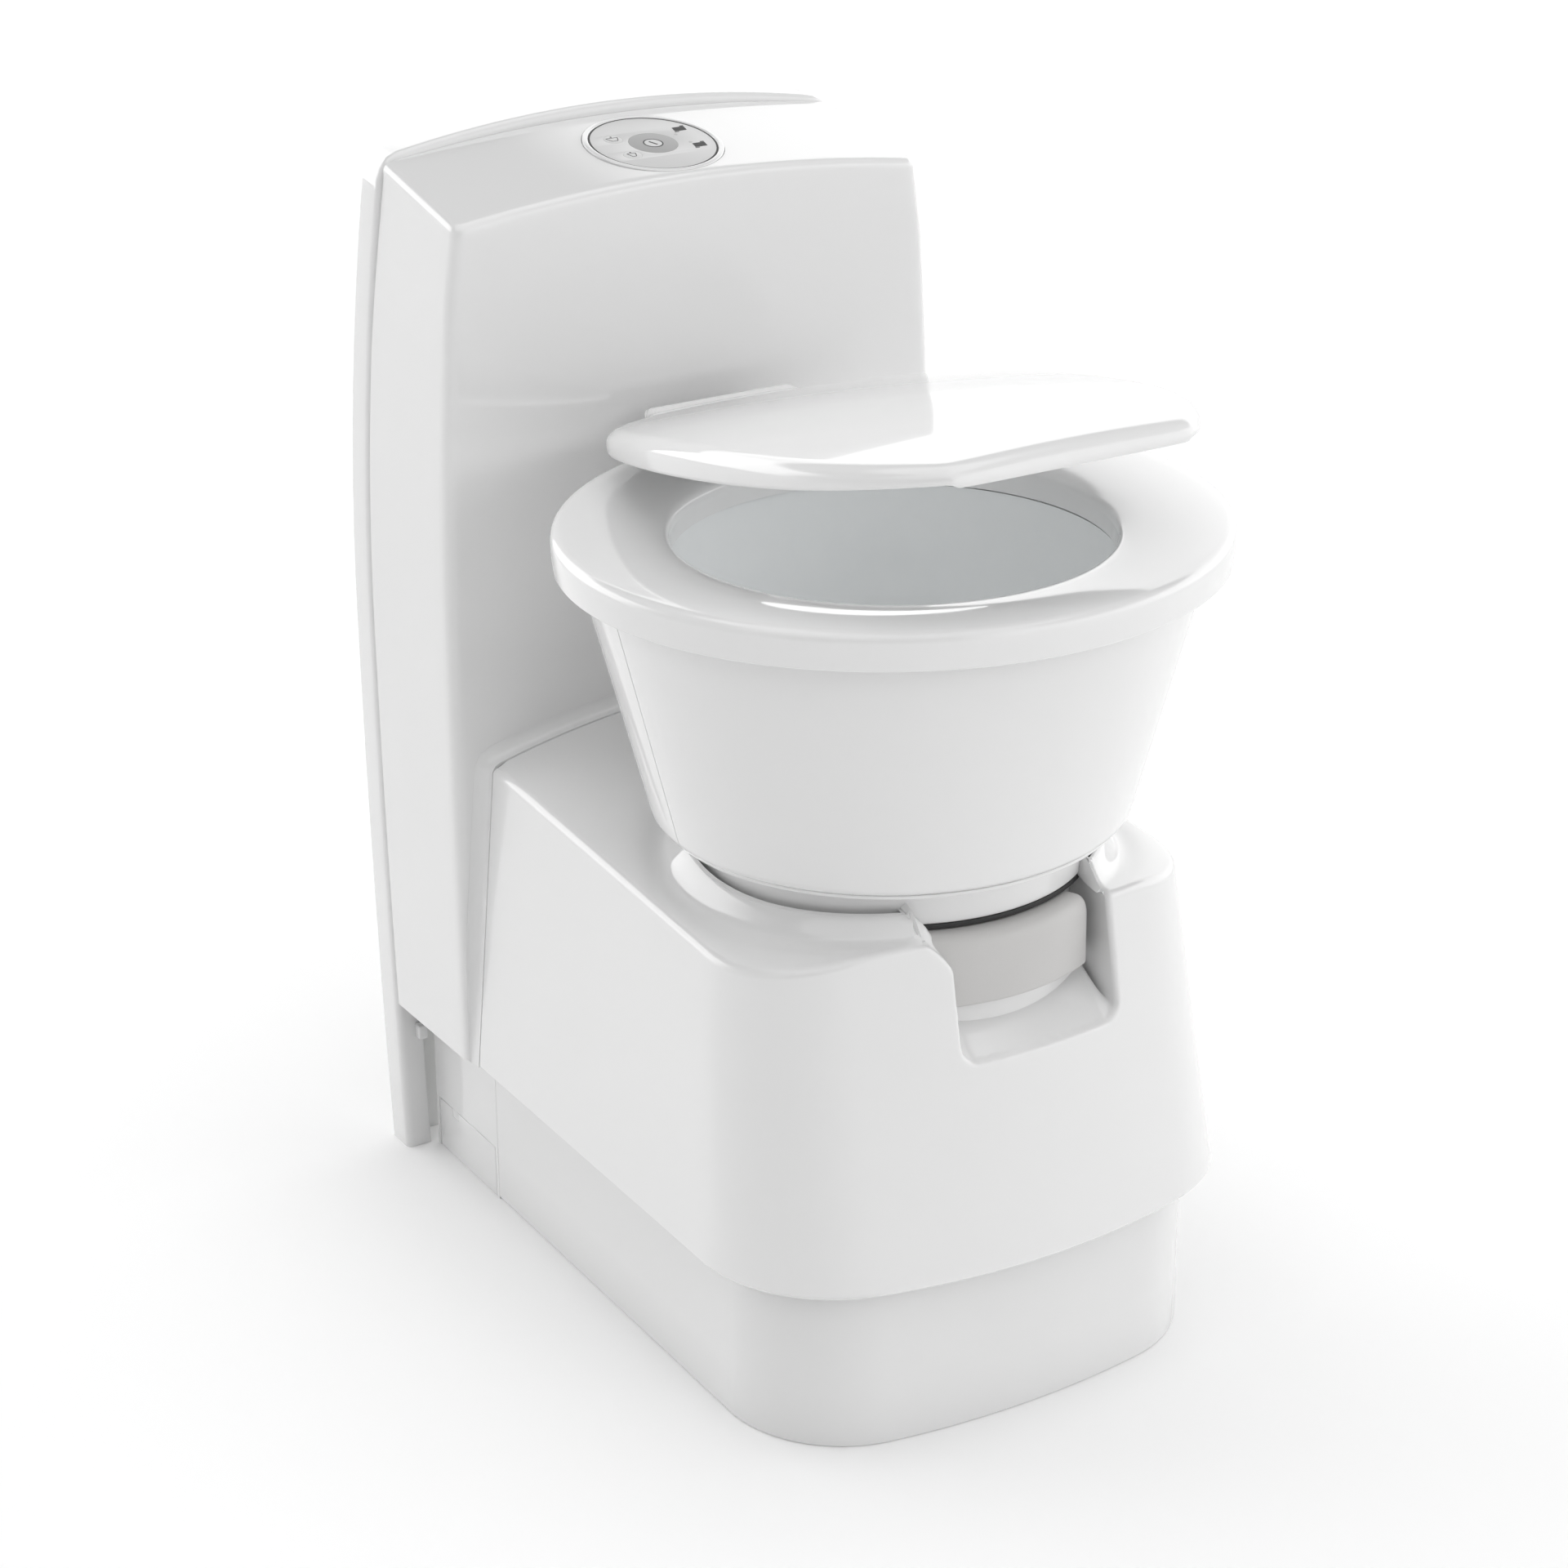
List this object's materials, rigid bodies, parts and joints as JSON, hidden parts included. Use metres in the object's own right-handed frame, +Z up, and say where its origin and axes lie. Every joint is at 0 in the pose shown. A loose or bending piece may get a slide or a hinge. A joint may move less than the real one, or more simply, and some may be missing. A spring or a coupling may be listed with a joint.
{
  "type": "cassette toilet",
  "caption": "Built-in cassette toilet with a tall back tower, a saddle-shaped base, a swivelling bowl with seat and lid, a slide-valve lever and a pull-out waste cassette.",
  "frame": {"origin": "middle of the object's floor plan, on the floor", "axes": "+Z up, +Y to the wall behind the tower, -Y to the front of the seat, +X to the user's left when seated facing front"},
  "size_m": [0.406, 0.555, 0.716],
  "materials": {
    "white_gloss": "glossy injection-moulded white plastic",
    "grey_satin": "satin light grey plastic with a fine grain",
    "ceramic": "smooth glazed inlay",
    "seal_rubber": "soft matt rubber",
    "tank_plastic": "blow-moulded natural plastic",
    "membrane": "satin printed membrane",
    "steel": "bright drawn pin",
    "board": "circuit board",
    "hose": "flexible grey hose",
    "dark_plastic": "black textured plastic",
    "grey_plastic": "mid grey plastic"
  },
  "bodies": {
    "housing": {"floor_tray": "white_gloss", "plinth_front": "white_gloss", "plinth_side_left": "white_gloss", "plinth_side_right": "white_gloss", "service_panel_left": "white_gloss", "service_panel_right": "white_gloss", "chassis": "white_gloss", "back_frame": "white_gloss", "cover_latches": "white_gloss", "tower_cover": "white_gloss", "saddle_cover": "white_gloss", "handle_pocket": "white_gloss", "swivel_base": "white_gloss", "lip_seal": "seal_rubber", "bearing_ring": "seal_rubber", "flush_tank": "tank_plastic", "filler_cap": "dark_plastic", "flush_pump": "dark_plastic", "suction_hose": "hose", "flush_hose": "hose", "wiring_loom": "dark_plastic", "control_housing": "dark_plastic", "circuit_board": "board", "control_bezel": "white_gloss", "membrane_panel": "membrane"},
    "power_button": {"power_key": "membrane"},
    "flush_long": {"flush_key_long": "membrane"},
    "flush_short": {"flush_key_short": "membrane"},
    "bowl": {"neck_ring": "white_gloss", "bowl_skirt_front": "white_gloss", "bowl_skirt_rear": "white_gloss", "bowl_inlay": "ceramic", "flush_nozzle": "white_gloss", "hinge_brackets": "white_gloss", "hinge_pin": "steel"},
    "seat": {"seat_ring": "white_gloss", "seat_bumpers": "seal_rubber"},
    "lid": {"lid_shell": "white_gloss"},
    "lever": {"slide_handle": "grey_satin", "drive_ring": "grey_satin"},
    "pinion": {"drive_pinion": "grey_satin"},
    "cassette": {"cassette_tank_lower": "tank_plastic", "cassette_tank_upper": "tank_plastic", "valve_housing": "dark_plastic", "valve_seal": "seal_rubber", "wheel_pins": "steel"},
    "blade": {"valve_blade": "grey_plastic"},
    "spout": {"pour_spout": "grey_plastic"},
    "cap": {"spout_cap": "dark_plastic"},
    "vent": {"vent_button": "grey_plastic"},
    "bail": {"carry_handle": "dark_plastic"},
    "trolley": {"trolley_handle": "dark_plastic"},
    "wheel_l": {"wheel_left": "dark_plastic"},
    "wheel_r": {"wheel_right": "dark_plastic"},
    "float": {"level_float": "grey_plastic"}
  },
  "joints": [
    {"name": "bowl_swivel", "type": "hinge", "parent": "housing", "child": "bowl", "pos_m": [0, -0.0825, 0.32], "axis": [0, 0, 1], "range_deg": [-90, 90]},
    {"name": "seat_hinge", "type": "hinge", "parent": "bowl", "child": "seat", "pos_m": [0, 0.1225, 0.542], "axis": [-1, 0, 0], "range_deg": [0, 80]},
    {"name": "lid_hinge", "type": "hinge", "parent": "seat", "child": "lid", "pos_m": [0, 0.1225, 0.542], "axis": [1, 0, 0], "range_deg": [-80, 11.4]},
    {"name": "handle_swing", "type": "hinge", "parent": "housing", "child": "lever", "pos_m": [0, -0.0825, 0.285], "axis": [0, 0, 1], "range_deg": [-22.5, 0]},
    {"name": "pinion_turn", "type": "hinge", "parent": "housing", "child": "pinion", "pos_m": [0, -0.0075, 0.285], "axis": [0, 0, 1], "range_deg": [-90, 0]},
    {"name": "cassette_slide", "type": "slide", "parent": "housing", "child": "cassette", "axis": [0, 1, 0], "range_m": [0, 0.42]},
    {"name": "blade_turn", "type": "hinge", "parent": "cassette", "child": "blade", "pos_m": [0, -0.0075, 0.213], "axis": [0, 0, 1], "range_deg": [-90, 0]},
    {"name": "spout_swing", "type": "hinge", "parent": "cassette", "child": "spout", "pos_m": [-0.095, 0.2155, 0.182], "axis": [0, 0, 1], "range_deg": [0, 90]},
    {"name": "cap_turn", "type": "hinge", "parent": "spout", "child": "cap", "pos_m": [0.06, 0.2155, 0.182], "axis": [1, 0, 0], "range_deg": [0, 90]},
    {"name": "vent_press", "type": "slide", "parent": "cassette", "child": "vent", "axis": [0, 0, -1], "range_m": [0, 0.004], "stiffness_N_per_m": 500},
    {"name": "carry_handle_swing", "type": "hinge", "parent": "cassette", "child": "bail", "pos_m": [0, 0.2625, 0.135], "axis": [1, 0, 0], "range_deg": [0, 100]},
    {"name": "trolley_pull", "type": "slide", "parent": "cassette", "child": "trolley", "axis": [0, 1, 0], "range_m": [0, 0.28]},
    {"name": "wheel_left_spin", "type": "hinge", "parent": "cassette", "child": "wheel_l", "pos_m": [-0.129, -0.1185, 0.028], "axis": [1, 0, 0], "continuous": true},
    {"name": "wheel_right_spin", "type": "hinge", "parent": "cassette", "child": "wheel_r", "pos_m": [0.129, -0.1185, 0.028], "axis": [1, 0, 0], "continuous": true},
    {"name": "float_swing", "type": "hinge", "parent": "cassette", "child": "float", "pos_m": [0.11, 0.1275, 0.19], "axis": [1, 0, 0], "range_deg": [0, 35]},
    {"name": "power_press", "type": "slide", "parent": "housing", "child": "power_button", "axis": [0, 0.1805, -0.9836], "range_m": [0, 0.0008], "stiffness_N_per_m": 900},
    {"name": "long_flush_press", "type": "slide", "parent": "housing", "child": "flush_long", "axis": [0, 0.1805, -0.9836], "range_m": [0, 0.0008], "stiffness_N_per_m": 900},
    {"name": "short_flush_press", "type": "slide", "parent": "housing", "child": "flush_short", "axis": [0, 0.1805, -0.9836], "range_m": [0, 0.0008], "stiffness_N_per_m": 900}
  ],
  "couplings": [
    {"joint": "pinion_turn", "follows": "handle_swing", "ratio": 4},
    {"joint": "blade_turn", "follows": "handle_swing", "ratio": 4}
  ]
}
